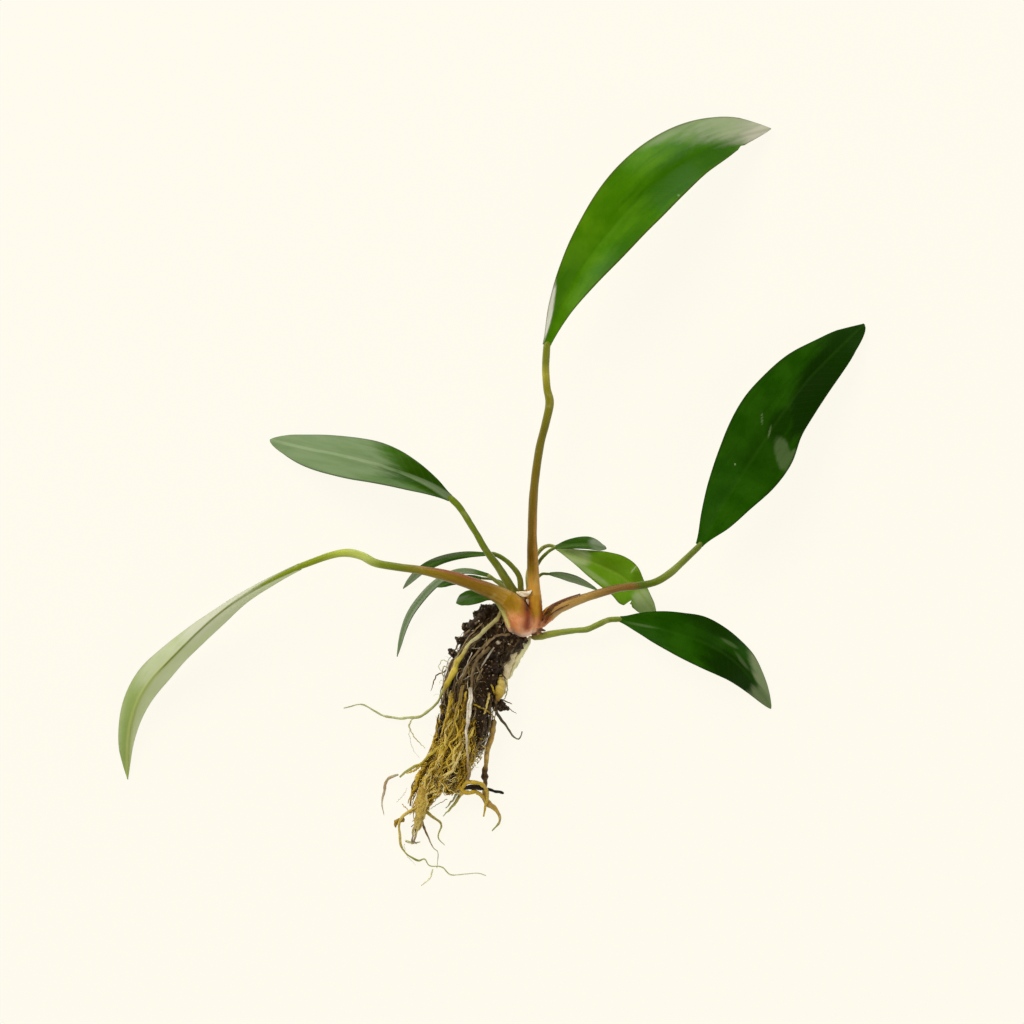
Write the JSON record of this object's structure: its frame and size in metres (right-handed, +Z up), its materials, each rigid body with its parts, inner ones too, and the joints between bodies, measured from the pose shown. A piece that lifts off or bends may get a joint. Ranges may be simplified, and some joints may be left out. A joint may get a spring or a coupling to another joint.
{
  "type": "bare-rooted anubias aquarium plant",
  "caption": "Bare-rooted anubias lying on its side: long lance-shaped leaves on fleshy stalks, short crown, and a narrow ball of roots with dark soil.",
  "frame": {"origin": "on the surface that the plant lies on, under the middle of its length and width", "axes": "+Z up from the surface, the plant's thinnest way; +Y from the roots toward the tallest leaf; +X toward the right-hand leaves"},
  "size_m": [0.2236, 0.23, 0.0351],
  "materials": {
    "leaf_green": "satin",
    "stalk_olive": "satin",
    "crown_tan": "satin",
    "soil_dark": "matte",
    "root_yellow": "satin"
  },
  "bodies": {
    "root": {"crown": "crown_tan", "root_ball": "soil_dark", "stalk_tall": "stalk_olive", "blade_tall": "leaf_green", "stalk_right": "stalk_olive", "blade_right": "leaf_green", "stalk_upper_left": "stalk_olive", "blade_upper_left": "leaf_green", "stalk_long_left": "stalk_olive", "blade_long_left": "leaf_green", "stalk_low_right": "stalk_olive", "blade_low_right": "leaf_green", "stalk_small_dark": "stalk_olive", "blade_small_dark": "leaf_green", "stalk_torn": "stalk_olive", "blade_torn": "leaf_green", "stalk_narrow_right": "stalk_olive", "blade_narrow_right": "leaf_green", "stalk_back_left": "stalk_olive", "blade_back_left": "leaf_green", "stalk_droop_left": "stalk_olive", "blade_droop_left": "leaf_green", "stalk_tip_left": "stalk_olive", "blade_tip_left": "leaf_green", "stalk_stub_left": "stalk_olive", "blade_stub_left": "leaf_green", "root_long_left": "root_yellow", "root_short_white": "root_yellow", "root_white_strand": "root_yellow", "root_yellow_strand": "root_yellow", "root_pale_upper": "root_yellow", "root_pale_side": "root_yellow", "root_bud": "root_yellow", "root_hook": "root_yellow", "root_tan_loop": "root_yellow", "root_dead": "root_yellow", "root_left_mid": "root_yellow", "root_left_curl": "root_yellow", "root_long_bottom": "root_yellow", "root_bottom_fork": "root_yellow", "root_stump": "root_yellow", "root_right_low": "root_yellow", "root_brown_low": "root_yellow", "root_fork_low": "root_yellow"}
  },
  "joints": []
}
